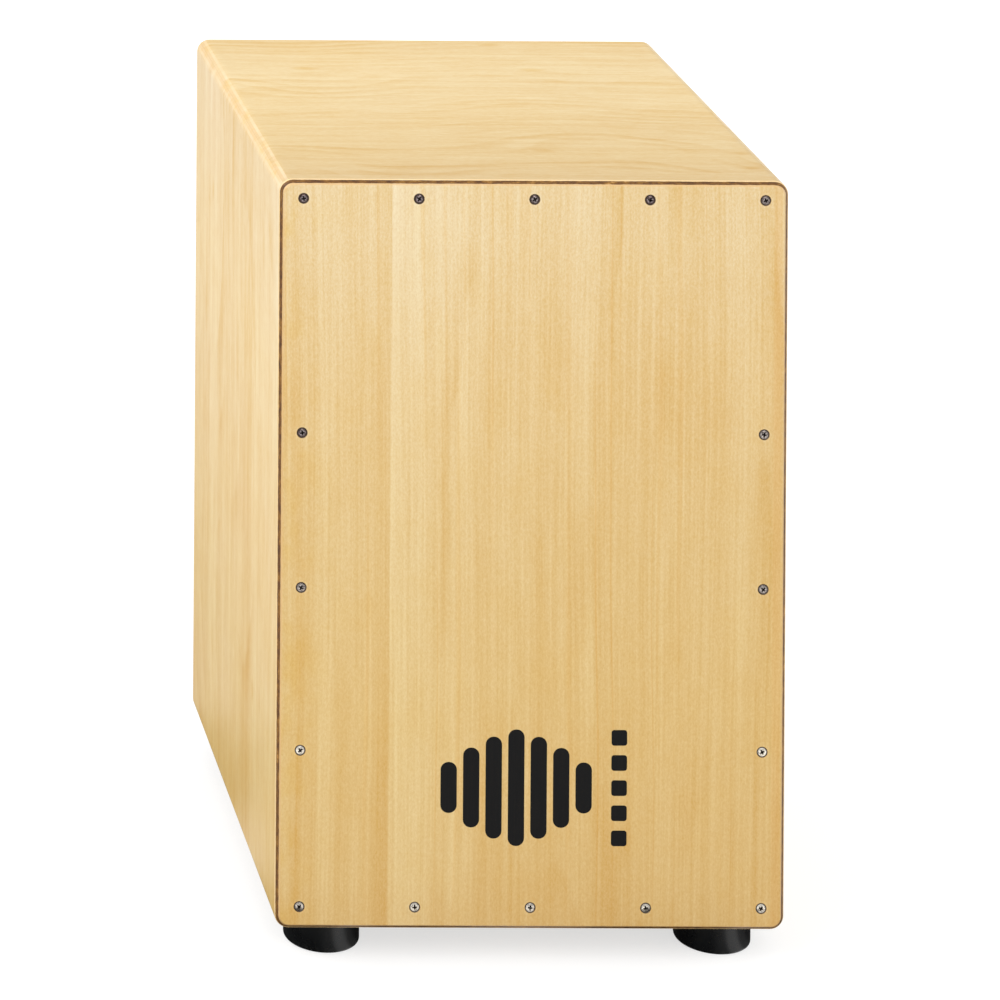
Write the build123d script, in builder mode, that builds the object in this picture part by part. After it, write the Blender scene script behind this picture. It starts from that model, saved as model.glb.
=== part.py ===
from build123d import *
from math import cos, radians, sin, sqrt
import os

# Cajon: a box drum that the player sits on, with a string snare behind its face.
# Millimetres, +Z up.  The origin is the centre of the footprint on the floor.
# The striking face looks along -Y, the sound hole along +Y, and +X is to the
# right of somebody who looks at the striking face.

# --- overall ---------------------------------------------------------------
WIDTH = 300.0            # left side to right side
DEPTH = 300.0            # striking face to rear face
FOOT_HEIGHT = 20.0       # floor to underside of the box
BODY_HEIGHT = 441.0      # wooden box alone
EDGE_RADIUS = 8.0        # round-over of the four long box edges

# --- wooden box ------------------------------------------------------------
WALL = 9.0               # plywood of top, bottom and sides
PLATE = 3.2              # front plate
PLATE_BEVEL = 2.8        # 45 degree bevel all round the front plate
REAR_PANEL = 6.0         # let in flush between the walls
REAR_EASE = 1.6          # eased outer rear edge of the walls
BATTEN = 14.0            # square glue battens behind front plate and rear panel
BATTEN_BEVEL = 1.5       # on the one long edge that faces the middle of the box
SOUND_HOLE = 110.0       # diameter
SOUND_HOLE_Z = 276.0     # height of its centre above the floor
SOUND_HOLE_ROUND = 1.8   # rounding of its rim

# --- front plate screws ----------------------------------------------------
SCREW_INSET = 14.0       # from the sides
SCREW_BOTTOM_Z = 33.4    # heights above the floor: the bottom row,
SCREW_SIDE_Z = (125.5, 221.3, 312.4)     # the three down each side
SCREW_TOP_Z = 450.3      # and the top row
SCREWS_PER_ROW = 5
SCREW_R = 1.5
SCREW_HEAD_R = 2.9
SCREW_LENGTH = 15.6      # from the head's rim to the tip
SCREW_DOME = 0.75        # height of the oval head above its rim
SCREW_SUNK = 0.25        # the rim is pulled this far below the plate's face
HOLE_GAP = 0.02          # radial clearance of the wood screws in their holes

# --- feet ------------------------------------------------------------------
FOOT_R = 22.75
FOOT_INSET = 33.5        # foot centre from the side and from the front or rear
FOOT_CUP_R = 8.5         # recess for the foot's screw
FOOT_CUP_DEPTH = 9.0
FOOT_SCREW_R = 2.25
FOOT_WASHER_R = 7.5
FOOT_WASHER = 1.2        # thickness

# --- string snare and its tensioners ---------------------------------------
TENSIONER_X = 60.0       # each tensioner stands this far from the centre line
BOLT_Y = -139.0          # axis of the tension bolts
BOLT_R = 3.0
BOLT_PITCH = 1.0
BOLT_THREAD_DEPTH = 0.45
BOLT_LENGTH = 50.0
BOLT_SHANK = 17.5        # plain length under the head
BOLT_HEAD_R = 5.0
BOLT_HEAD = 6.0
BOLT_HOLE_R = BOLT_R + 0.4
HEX_AF = 5.0             # hexagon socket, across flats
HEX_DEPTH = 3.0
COUNTERBORE_R = 6.6
COUNTERBORE = 7.6
WASHER = 1.0             # thickness of the washer above the bolt head
CARRIER_W = 20.0
CARRIER_H = 14.0
CARRIER_Z = 52.0         # underside of the carrier at mid travel
CARRIER_BACK = -133.0
RUNNING = 0.05           # radial clearance of a turning fit
STRING_R = 0.4
STRING_Y = -145.4
FAN_LOW = 5.0            # spacing of the three strings at the carrier
FAN_TOP = 12.0           # and at the anchor bar
BALL_R = 1.2             # barrel-shaped string ends
BALL_W = 3.0
BALL_GAP = 0.03          # between a string end and what holds it
SNARE_FRONT = -146.2     # front of the anchor bar and the carriers
ANCHOR_W = 172.0
ANCHOR_T = 2.0
ANCHOR_BACK = -133.6
ANCHOR_SCREW_R = 1.5
ANCHOR_SCREW_Y = -137.5
ANCHOR_SCREW_X = (-78, -30, 30, 78)
GUIDE_T = 1.5
GUIDE_H = 44.0
GUIDE_CHEEK = 12.5       # front to rear, through the back of the guide
GUIDE_SCREW_R = 1.25
GUIDE_SCREW_X = 6.5      # from the tension bolt's axis
SMALL_PILOT = 8.3        # depth of the anchor and guide screws' pilot holes

# --- derived ---------------------------------------------------------------
HALF_W, HALF_D = WIDTH / 2, DEPTH / 2
BOX_BOTTOM = FOOT_HEIGHT
SEAT = FOOT_HEIGHT + BODY_HEIGHT
PLATE_FACE = -HALF_D
PLATE_BACK = PLATE_FACE + PLATE          # also the front rim of the walls
WALL_DEPTH = HALF_D - PLATE_BACK
INNER_X = HALF_W - WALL                  # inner face of the sides
INNER_BOTTOM, INNER_TOP = BOX_BOTTOM + WALL, SEAT - WALL
BAY_BOTTOM, BAY_TOP = INNER_BOTTOM + BATTEN, INNER_TOP - BATTEN    # between battens
BATTEN_BACK = PLATE_BACK + BATTEN        # rear face of the front battens
REAR_INNER = HALF_D - REAR_PANEL
PLATE_PILOT = SCREW_LENGTH - PLATE + 0.5
FOOT_SCREW_SEAT = FOOT_CUP_DEPTH - FOOT_WASHER
BOLT_SEAT = BOX_BOTTOM + COUNTERBORE - WASHER      # underside of the washer
BOLT_TIP = BOLT_SEAT + BOLT_LENGTH
GUIDE_BOTTOM = INNER_BOTTOM + 2
GUIDE_IN = CARRIER_W / 2 + 0.15          # bolt axis to the inside of a cheek

row_xs = [
    -HALF_W + SCREW_INSET + i * (WIDTH - 2 * SCREW_INSET) / (SCREWS_PER_ROW - 1)
    for i in range(SCREWS_PER_ROW)
]
top_row = [(x, SCREW_TOP_Z) for x in row_xs]
bottom_row = [(x, SCREW_BOTTOM_Z) for x in row_xs]
left_column = [(-HALF_W + SCREW_INSET, z) for z in SCREW_SIDE_Z]
right_column = [(HALF_W - SCREW_INSET, z) for z in SCREW_SIDE_Z]
screw_points = top_row + bottom_row + left_column + right_column
# how far each screw's cross recess is turned, in degrees, in the same order
SCREW_TURNS = [12, 57, 31, 74, 22, 48, 5, 83, 17, 66, 39, 61, 8, 27, 52, 79]

foot_centres = {
    "foot_front_left": (-HALF_W + FOOT_INSET, -HALF_D + FOOT_INSET),
    "foot_front_right": (HALF_W - FOOT_INSET, -HALF_D + FOOT_INSET),
    "foot_rear_left": (-HALF_W + FOOT_INSET, HALF_D - FOOT_INSET),
    "foot_rear_right": (HALF_W - FOOT_INSET, HALF_D - FOOT_INSET),
}
tensioners = {"left": -TENSIONER_X, "right": TENSIONER_X}
# (x, z) of the guide screws; the set is symmetric, so it serves front and rear planes
guide_screw_points = [
    (bolt_x + side * GUIDE_SCREW_X, INNER_BOTTOM + BATTEN / 2)
    for bolt_x in tensioners.values()
    for side in (-1, 1)
]

ON_BASE = (Align.CENTER, Align.CENTER, Align.MIN)

os.makedirs("parts", exist_ok=True)


def save(builder, label):
    builder.part.label = label
    export_step(builder.part, f"parts/{label}.step")


def front_facing(origin, x_dir=(1, 0, 0)):
    """An upright plane that looks along -Y, so a negative extrusion goes back."""
    return Plane(origin=origin, x_dir=x_dir, z_dir=(0, -1, 0))


def rear_facing(y):
    """An upright plane that looks along +Y; its x runs along -X."""
    return Plane(origin=(0, y, 0), x_dir=(-1, 0, 0), z_dir=(0, 1, 0))


plate_face_plane = front_facing((0, PLATE_FACE, 0))
batten_face_plane = front_facing((0, PLATE_BACK, 0))


# ---------------------------------------------------------------------------
# Box walls.  Their section, seen from the front, is a mitred frame with a
# round-over at each corner; each wall owns its half of both corner arcs.
# ---------------------------------------------------------------------------
MITRE_IN = EDGE_RADIUS * (1 - 1 / sqrt(2))            # arc end at the mitre, both ways
ARC_MID_DROP = EDGE_RADIUS * (1 - cos(radians(22.5)))   # half way along the arc
ARC_MID_IN = EDGE_RADIUS * (1 - sin(radians(22.5)))


def wall_panel(plane, half):
    """A mitred wall: its outer face is at the plane's y = 0, its inner face at y = -WALL."""
    with BuildPart() as panel:
        with BuildSketch(plane):
            with BuildLine():
                Line((-half + EDGE_RADIUS, 0), (half - EDGE_RADIUS, 0))
                ThreePointArc(
                    (half - EDGE_RADIUS, 0),
                    (half - ARC_MID_IN, -ARC_MID_DROP),
                    (half - MITRE_IN, -MITRE_IN),
                )
                Line((half - MITRE_IN, -MITRE_IN), (half - WALL, -WALL))
                Line((half - WALL, -WALL), (-half + WALL, -WALL))
                Line((-half + WALL, -WALL), (-half + MITRE_IN, -MITRE_IN))
                ThreePointArc(
                    (-half + MITRE_IN, -MITRE_IN),
                    (-half + ARC_MID_IN, -ARC_MID_DROP),
                    (-half + EDGE_RADIUS, 0),
                )
            make_face()
        extrude(amount=-WALL_DEPTH)
        # ease only the rear edges that lie on the outside of the box
        rear_face = panel.part.faces().sort_by(Axis.Y)[-1]
        outer_edges = [
            e for e in rear_face.edges()
            if plane.to_local_coords(e @ 0.5).Y > -MITRE_IN + 0.01
        ]
        fillet(outer_edges, REAR_EASE)
    return panel


MID_HEIGHT = (BOX_BOTTOM + SEAT) / 2
top_plane = front_facing((0, PLATE_BACK, SEAT))
bottom_plane = front_facing((0, PLATE_BACK, BOX_BOTTOM), x_dir=(-1, 0, 0))
left_plane = front_facing((-HALF_W, PLATE_BACK, MID_HEIGHT), x_dir=(0, 0, 1))
right_plane = front_facing((HALF_W, PLATE_BACK, MID_HEIGHT), x_dir=(0, 0, -1))

save(wall_panel(top_plane, HALF_W), "top_panel")
save(wall_panel(left_plane, BODY_HEIGHT / 2), "left_side_panel")
save(wall_panel(right_plane, BODY_HEIGHT / 2), "right_side_panel")

# Bottom: pilot holes for the foot screws and two counterbored tension bolt holes
bottom_blank = wall_panel(bottom_plane, HALF_W)
with BuildPart() as bottom_panel:
    add(bottom_blank.part)
    with Locations(*[(x, y, BOX_BOTTOM) for x, y in foot_centres.values()]):
        Cylinder(FOOT_SCREW_R + HOLE_GAP, WALL, align=ON_BASE, mode=Mode.SUBTRACT)
    with Locations(*[Location((x, BOLT_Y, BOX_BOTTOM), (180, 0, 0)) for x in tensioners.values()]):
        CounterBoreHole(BOLT_HOLE_R, COUNTERBORE_R, COUNTERBORE, WALL)
save(bottom_panel, "bottom_panel")

# Rear panel with the sound hole, let in flush between the walls
with BuildPart() as rear_panel:
    with BuildSketch(rear_facing(HALF_D)):
        with Locations((0, (INNER_BOTTOM + INNER_TOP) / 2)):
            Rectangle(2 * INNER_X, INNER_TOP - INNER_BOTTOM)
        with Locations((0, SOUND_HOLE_Z)):
            Circle(SOUND_HOLE / 2, mode=Mode.SUBTRACT)
    extrude(amount=-REAR_PANEL)
    # the rim of the sound hole is rounded on both faces so that it does not splinter
    fillet(rear_panel.edges().filter_by(GeomType.CIRCLE), SOUND_HOLE_ROUND)
save(rear_panel, "rear_panel")

# Front plate: thin striking face, bevelled all round, with countersunk screw holes
with BuildPart() as front_plate:
    with BuildSketch(plate_face_plane):
        with Locations((0, MID_HEIGHT)):
            RectangleRounded(WIDTH, BODY_HEIGHT, EDGE_RADIUS)
    extrude(amount=-PLATE)
    chamfer(front_plate.faces().sort_by(Axis.Y)[0].edges(), PLATE_BEVEL)
    with Locations(plate_face_plane):
        with Locations(*screw_points):
            CounterSinkHole(
                radius=SCREW_R + HOLE_GAP,
                counter_sink_radius=SCREW_HEAD_R + SCREW_SUNK + 0.03,
                depth=PLATE + 1,
                counter_sink_angle=90,
            )
save(front_plate, "front_plate")


# ---------------------------------------------------------------------------
# Glue battens.  The front ones take the plate's screws, the rear ones carry
# the rear panel.  The upright ones stand between the top and bottom ones.
# ---------------------------------------------------------------------------
def cross_batten(plane, centre_z, y_group, z_index):
    """A batten from side to side; y_group and z_index pick the long edge to bevel."""
    with BuildPart() as batten:
        with BuildSketch(plane):
            with Locations((0, centre_z)):
                Rectangle(2 * INNER_X, BATTEN)
        extrude(amount=-BATTEN)
        long_edges = batten.edges().filter_by(Axis.X)
        chamfer(long_edges.group_by(Axis.Y)[y_group].sort_by(Axis.Z)[z_index], BATTEN_BEVEL)
    return batten


def upright_batten(side, front_y, column=None):
    """A square upright glued to a side wall, drilled for a column of plate screws."""
    with BuildPart() as upright:
        with BuildSketch(Plane.XY.offset(BAY_BOTTOM)):
            with Locations((side * (INNER_X - BATTEN / 2), front_y + BATTEN / 2)):
                Rectangle(BATTEN, BATTEN)
        extrude(amount=BAY_TOP - BAY_BOTTOM)
        # bevel the one upright edge that faces the middle of the box
        uprights = upright.edges().filter_by(Axis.Z)
        inner_edges = uprights.sort_by(lambda e: abs((e @ 0.5).X) + abs((e @ 0.5).Y))[:1]
        chamfer(inner_edges, BATTEN_BEVEL)
        if column:
            with Locations(batten_face_plane):
                with Locations(*column):
                    Hole(SCREW_R + HOLE_GAP, PLATE_PILOT)
    return upright


TOP_BATTEN_Z = INNER_TOP - BATTEN / 2
BOTTOM_BATTEN_Z = INNER_BOTTOM + BATTEN / 2

front_top_blank = cross_batten(batten_face_plane, TOP_BATTEN_Z, y_group=-1, z_index=0)
with BuildPart() as front_batten_top:
    add(front_top_blank.part)
    with Locations(batten_face_plane):
        with Locations(*top_row):
            Hole(SCREW_R + HOLE_GAP, PLATE_PILOT)
    # groove along the lower front edge: room for the ball ends of the strings
    with Locations((0, PLATE_BACK, BAY_TOP)):
        Box(168, 3.4, 4.5, align=(Align.CENTER, Align.MIN, Align.MIN), mode=Mode.SUBTRACT)
    # pilot holes for the anchor bar's screws
    with Locations(*[(x, ANCHOR_SCREW_Y, BAY_TOP) for x in ANCHOR_SCREW_X]):
        Cylinder(ANCHOR_SCREW_R + HOLE_GAP, SMALL_PILOT, align=ON_BASE, mode=Mode.SUBTRACT)
save(front_batten_top, "front_batten_top")

front_bottom_blank = cross_batten(batten_face_plane, BOTTOM_BATTEN_Z, y_group=-1, z_index=-1)
with BuildPart() as front_batten_bottom:
    add(front_bottom_blank.part)
    with Locations(batten_face_plane):
        with Locations(*bottom_row):
            Hole(SCREW_R + HOLE_GAP, PLATE_PILOT)
    # clearance holes for the two tension bolts
    with Locations(*[(x, BOLT_Y, INNER_BOTTOM) for x in tensioners.values()]):
        Cylinder(BOLT_HOLE_R, BATTEN, align=ON_BASE, mode=Mode.SUBTRACT)
    # pilot holes for the guide screws, from the rear
    with Locations(rear_facing(BATTEN_BACK)):
        with Locations(*guide_screw_points):
            Hole(GUIDE_SCREW_R + HOLE_GAP, SMALL_PILOT)
save(front_batten_bottom, "front_batten_bottom")

save(upright_batten(-1, PLATE_BACK, left_column), "front_batten_left")
save(upright_batten(1, PLATE_BACK, right_column), "front_batten_right")
save(upright_batten(-1, REAR_INNER - BATTEN), "rear_batten_left")
save(upright_batten(1, REAR_INNER - BATTEN), "rear_batten_right")

rear_batten_plane = rear_facing(REAR_INNER)
save(cross_batten(rear_batten_plane, TOP_BATTEN_Z, y_group=0, z_index=0), "rear_batten_top")
save(cross_batten(rear_batten_plane, BOTTOM_BATTEN_Z, y_group=0, z_index=-1),
     "rear_batten_bottom")


# ---------------------------------------------------------------------------
# Screws.  Each is drawn once with its head at the origin and its tip at -Z,
# then set in place.  The thread is a row of rings.
# ---------------------------------------------------------------------------
def thread_points(radius, start, end, pitch, depth):
    """Ring profile from z = start down to the point at z = end (both negative)."""
    points = []
    z = start
    while z - pitch > end + 2.2 * radius:
        points += [
            (radius - depth, z),
            (radius, z - pitch * 0.5),
            (radius - depth, z - pitch * 0.78),
        ]
        z -= pitch
    points += [(radius - depth, z), (0.35, end + 0.25), (0, end)]
    return points


def cross_recess(width, mouth_z, depth, floor_width):
    """A tapered cross-shaped cutter whose mouth is at z = mouth_z."""
    mouth_slot, floor_slot = 1.05, 0.7
    arms = (
        ((width, mouth_slot), (floor_width, floor_slot)),
        ((mouth_slot, width), (floor_slot, floor_width)),
    )
    with BuildPart() as cutter:
        for mouth, floor in arms:
            with BuildSketch(Plane.XY.offset(mouth_z)):
                Rectangle(*mouth)
            with BuildSketch(Plane.XY.offset(mouth_z - depth)):
                Rectangle(*floor)
            loft()
    return cutter.part


def oval_screw():
    """Oval countersunk wood screw: the head's rim is at z = 0."""
    cutter = cross_recess(width=3.3, mouth_z=SCREW_DOME + 0.1, depth=1.9, floor_width=1.2)
    shank_r = SCREW_R - 0.02
    dome_r = (SCREW_HEAD_R ** 2 + SCREW_DOME ** 2) / (2 * SCREW_DOME)
    half_r = SCREW_HEAD_R / 2
    thread = thread_points(shank_r, start=-4.0, end=-SCREW_LENGTH, pitch=1.3, depth=0.45)
    with BuildPart() as screw:
        with BuildSketch(Plane.XZ):
            with BuildLine():
                ThreePointArc(
                    (0, SCREW_DOME),
                    (half_r, SCREW_DOME - dome_r + sqrt(dome_r ** 2 - half_r ** 2)),
                    (SCREW_HEAD_R, 0),
                )
                Polyline(
                    (SCREW_HEAD_R, 0),
                    (shank_r, -(SCREW_HEAD_R - shank_r)),
                    (shank_r, -3.2),
                    *thread,
                    (0, SCREW_DOME),
                )
            make_face()
        revolve(axis=Axis.Z)
        add(cutter, mode=Mode.SUBTRACT)
    return screw


def pan_screw(radius, head_r, head_h, length, pitch, depth, recess):
    """Pan-head wood screw: the head's seat is at z = 0, the shank runs to -Z."""
    cutter = cross_recess(recess, head_h + 0.01, head_h * 0.75, recess * 0.45)
    thread = thread_points(radius, -2.0, -length, pitch, depth)
    with BuildPart() as screw:
        with BuildSketch(Plane.XZ):
            with BuildLine():
                Line((0, 0), (0, head_h))
                Line((0, head_h), (head_r * 0.55, head_h))
                ThreePointArc(
                    (head_r * 0.55, head_h),
                    (head_r * 0.9, head_h * 0.8),
                    (head_r, head_h * 0.25),
                )
                Polyline((head_r, head_h * 0.25), (head_r, 0), (radius, 0), (radius, -1.5))
                Polyline((radius, -1.5), *thread)
                Line(thread[-1], (0, 0))
            make_face()
        revolve(axis=Axis.Z)
        add(cutter, mode=Mode.SUBTRACT)
    return screw


plate_screw = oval_screw()
with BuildPart() as front_plate_screws:
    with Locations(plate_face_plane):
        with Locations(*[Location((x, z, -SCREW_SUNK), (0, 0, turn))
                         for (x, z), turn in zip(screw_points, SCREW_TURNS)]):
            add(plate_screw.part)
save(front_plate_screws, "front_plate_screws")


# ---------------------------------------------------------------------------
# Rubber feet, with their washers and screws
# ---------------------------------------------------------------------------
def rubber_foot(foot_x, foot_y):
    """A turned foot: a flange at the top, a rounded sole and a cup for the screw."""
    bore_r = FOOT_SCREW_R + 0.15
    side_r = FOOT_R - 0.45
    sole_r = FOOT_R - 2.65
    with BuildPart() as foot:
        with BuildSketch(front_facing((foot_x, foot_y, 0))):
            with BuildLine():
                Polyline(
                    (bore_r, FOOT_HEIGHT),
                    (FOOT_R - 0.5, FOOT_HEIGHT),
                    (FOOT_R, FOOT_HEIGHT - 0.5),
                    (FOOT_R, FOOT_HEIGHT - 2.9),
                    (side_r, FOOT_HEIGHT - 3.4),
                    (side_r, 2.2),
                )
                ThreePointArc((side_r, 2.2), (FOOT_R - 1.1, 0.65), (sole_r, 0))
                Polyline(
                    (sole_r, 0),
                    (FOOT_CUP_R + 0.8, 0),
                    (FOOT_CUP_R, 0.8),
                    (FOOT_CUP_R, FOOT_CUP_DEPTH),
                    (bore_r, FOOT_CUP_DEPTH),
                    (bore_r, FOOT_HEIGHT),
                )
            make_face()
        revolve(axis=Axis((foot_x, foot_y, 0), (0, 0, 1)))
    return foot


for foot_name, (foot_x, foot_y) in foot_centres.items():
    save(rubber_foot(foot_x, foot_y), foot_name)

with BuildPart() as foot_washers:
    for x, y in foot_centres.values():
        with BuildSketch(Plane(origin=(x, y, FOOT_SCREW_SEAT))):
            Circle(FOOT_WASHER_R)
            Circle(FOOT_SCREW_R + 0.2, mode=Mode.SUBTRACT)
        extrude(amount=FOOT_WASHER)
    washer_circles = foot_washers.edges().filter_by(GeomType.CIRCLE)
    chamfer(washer_circles.filter_by(lambda e: e.radius > FOOT_WASHER_R - 0.5), 0.2)
save(foot_washers, "foot_washers")

foot_screw = pan_screw(
    FOOT_SCREW_R, head_r=4.3, head_h=3.0, length=20.3, pitch=1.8, depth=0.5, recess=4.2
)
with BuildPart() as foot_screws:
    with Locations(*[Location((x, y, FOOT_SCREW_SEAT), (180, 0, 20 + 25 * i))
                     for i, (x, y) in enumerate(foot_centres.values())]):
        add(foot_screw.part)
save(foot_screws, "foot_screws")


# ---------------------------------------------------------------------------
# String snare: six strings behind the plate in two fans of three.  They hang
# by their ball ends from a slotted bar under the top batten and are pulled
# down by two carriers, each moved by its own bolt.
# ---------------------------------------------------------------------------
def fan(bolt_x, spacing):
    """The x of three strings spread about a tensioner."""
    return [bolt_x + i * spacing for i in (-1, 0, 1)]


with BuildPart() as string_anchor_bar:
    with BuildSketch(Plane.XY.offset(BAY_TOP - ANCHOR_T)):
        with Locations((0, (SNARE_FRONT + ANCHOR_BACK) / 2)):
            RectangleRounded(ANCHOR_W, ANCHOR_BACK - SNARE_FRONT, 2.0)
        # one open slot for each string
        with Locations(*[(x, SNARE_FRONT)
                         for bolt_x in tensioners.values() for x in fan(bolt_x, FAN_TOP)]):
            SlotOverall(3.2, 1.1, rotation=90, mode=Mode.SUBTRACT)
        with Locations(*[(x, ANCHOR_SCREW_Y) for x in ANCHOR_SCREW_X]):
            Circle(ANCHOR_SCREW_R + 0.2, mode=Mode.SUBTRACT)
    extrude(amount=ANCHOR_T)
save(string_anchor_bar, "string_anchor_bar")

anchor_screw = pan_screw(
    ANCHOR_SCREW_R, head_r=2.8, head_h=1.9, length=8.0, pitch=1.1, depth=0.35, recess=2.6
)
with BuildPart() as string_anchor_screws:
    with Locations(*[Location((x, ANCHOR_SCREW_Y, BAY_TOP - ANCHOR_T), (180, 0, 15 + 33 * i))
                     for i, x in enumerate(ANCHOR_SCREW_X)]):
        add(anchor_screw.part)
save(string_anchor_screws, "string_anchor_screws")


def snare_strings(bolt_x):
    """Three plain steel strings, each with a barrel-shaped ball end at both ends."""
    low_z = CARRIER_Z - BALL_R - BALL_GAP
    top_z = BAY_TOP + BALL_R + BALL_GAP
    low_xs = fan(bolt_x, FAN_LOW)
    top_xs = fan(bolt_x, FAN_TOP)
    with BuildPart() as strings:
        for low_x, top_x in zip(low_xs, top_xs):
            with BuildLine():
                path = Line((low_x, STRING_Y, low_z), (top_x, STRING_Y, top_z))
            with BuildSketch(Plane(origin=path @ 0, z_dir=path % 0)):
                Circle(STRING_R)
            sweep(path=path)
        for x, z in [(x, low_z) for x in low_xs] + [(x, top_z) for x in top_xs]:
            ball_start = (x - BALL_W / 2, STRING_Y, z)
            with BuildSketch(Plane(origin=ball_start, x_dir=(0, 1, 0), z_dir=(1, 0, 0))):
                Circle(BALL_R)
            extrude(amount=BALL_W)
        circles = strings.edges().filter_by(GeomType.CIRCLE)
        fillet([e for e in circles if abs(e.radius - BALL_R) < 0.01], 0.3)
    return strings


def string_carrier(bolt_x):
    """A small block on the bolt, with a slot in its front for each string."""
    with BuildPart() as carrier:
        with BuildSketch(Plane.XY.offset(CARRIER_Z)):
            with Locations((bolt_x, (SNARE_FRONT + CARRIER_BACK) / 2)):
                Rectangle(CARRIER_W, CARRIER_BACK - SNARE_FRONT)
        extrude(amount=CARRIER_H)
        chamfer(carrier.edges().filter_by(Axis.Z), 0.8)
        chamfer(carrier.faces().sort_by(Axis.Z)[-1].edges(), 0.4)
        with Locations((bolt_x, BOLT_Y, CARRIER_Z)):
            Cylinder(BOLT_R + RUNNING, CARRIER_H, align=ON_BASE, mode=Mode.SUBTRACT)
        for x in fan(bolt_x, FAN_LOW):
            with Locations((x, SNARE_FRONT, CARRIER_Z)):
                Box(1.7, 2.9, CARRIER_H, align=ON_BASE, mode=Mode.SUBTRACT)
    return carrier


def bolt_thread():
    """Profile of the bolt's thread rings, upwards, ending at the root of the tip."""
    root = BOLT_R - BOLT_THREAD_DEPTH
    points = []
    z = BOLT_SEAT + BOLT_SHANK + 0.5
    while z + BOLT_PITCH < BOLT_TIP - 1.2:
        points += [(root, z), (root, z + 0.12), (BOLT_R, z + 0.5), (BOLT_R, z + 0.62)]
        z += BOLT_PITCH
    return points + [(root, z)]


def tension_bolt(bolt_x):
    """Socket-head bolt, turned with a hex key from under the box."""
    head_bottom = BOLT_SEAT - BOLT_HEAD
    head_top = BOLT_SEAT - 0.02
    with BuildPart() as bolt:
        with BuildSketch(front_facing((bolt_x, BOLT_Y, 0))):
            with BuildLine():
                Polyline(
                    (0, head_bottom),
                    (BOLT_HEAD_R - 0.5, head_bottom),
                    (BOLT_HEAD_R, head_bottom + 0.5),
                    (BOLT_HEAD_R, head_top),
                    (BOLT_R, head_top),
                    (BOLT_R, BOLT_SEAT + BOLT_SHANK),
                    *bolt_thread(),
                    (BOLT_R - 0.8, BOLT_TIP),
                    (0, BOLT_TIP),
                    (0, head_bottom),
                )
            make_face()
        revolve(axis=Axis((bolt_x, BOLT_Y, 0), (0, 0, 1)))
        with BuildSketch(Plane(origin=(bolt_x, BOLT_Y, head_bottom))):
            RegularPolygon(HEX_AF / 2, 6, major_radius=False)
        extrude(amount=HEX_DEPTH, mode=Mode.SUBTRACT)
    return bolt


def tension_washer(bolt_x):
    """The washer between the bolt head and the floor of the counterbore."""
    with BuildPart() as washer:
        with BuildSketch(Plane(origin=(bolt_x, BOLT_Y, BOLT_SEAT))):
            Circle(COUNTERBORE_R - 0.4)
            Circle(BOLT_R + 0.2, mode=Mode.SUBTRACT)
        extrude(amount=WASHER)
        circles = washer.edges().filter_by(GeomType.CIRCLE)
        chamfer(circles.filter_by(lambda e: e.radius > 5), 0.15)
    return washer


def string_guide(bolt_x):
    """Folded steel guide: its cheeks keep the carrier from turning with the bolt."""
    back_face = BATTEN_BACK + GUIDE_T
    cheek_bottom = BAY_BOTTOM + 1.0
    with BuildPart() as guide:
        with BuildSketch(Plane.XY.offset(GUIDE_BOTTOM)):
            with Locations((bolt_x, BATTEN_BACK + GUIDE_T / 2)):
                Rectangle(2 * (GUIDE_IN + GUIDE_T), GUIDE_T)
        extrude(amount=GUIDE_H)
        with BuildSketch(Plane.XY.offset(cheek_bottom)):
            for side in (-1, 1):
                with Locations((bolt_x + side * (GUIDE_IN + GUIDE_T / 2), back_face)):
                    Rectangle(GUIDE_T, GUIDE_CHEEK, align=(Align.CENTER, Align.MAX))
        extrude(amount=GUIDE_BOTTOM + GUIDE_H - cheek_bottom)
        # round the free front corners of the cheeks
        crosswise = guide.edges().filter_by(Axis.X)
        fillet([e for e in crosswise if (e @ 0.5).Y < BATTEN_BACK - 10], 2.5)
        # outer bend radius
        bends = [
            e for e in guide.edges().filter_by(Axis.Z)
            if (e @ 0.5).Y > back_face - 0.1 and (e @ 0.5).Z > BAY_BOTTOM - 10
        ]
        fillet(bends, 1.0)
        # the plane's x runs along -X, hence -bolt_x
        with Locations(rear_facing(back_face)):
            with Locations(*[(-bolt_x + side * GUIDE_SCREW_X, BOTTOM_BATTEN_Z)
                             for side in (-1, 1)]):
                Hole(GUIDE_SCREW_R + 0.2, GUIDE_T)
    return guide


for side_name, bolt_x in tensioners.items():
    save(snare_strings(bolt_x), f"snare_strings_{side_name}")
    save(string_carrier(bolt_x), f"string_carrier_{side_name}")
    save(tension_bolt(bolt_x), f"tension_bolt_{side_name}")
    save(tension_washer(bolt_x), f"tension_washer_{side_name}")
    save(string_guide(bolt_x), f"string_guide_{side_name}")

guide_screw = pan_screw(
    GUIDE_SCREW_R, head_r=2.5, head_h=1.7, length=9.3, pitch=0.95, depth=0.3, recess=2.3
)
with BuildPart() as string_guide_screws:
    with Locations(rear_facing(BATTEN_BACK + GUIDE_T)):
        with Locations(*[Location((x, z, 0), (0, 0, 40 + 20 * i))
                         for i, (x, z) in enumerate(guide_screw_points)]):
            add(guide_screw.part)
save(string_guide_screws, "string_guide_screws")
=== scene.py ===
import math
import random

import bmesh
import bpy
from mathutils import Matrix, Vector


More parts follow.
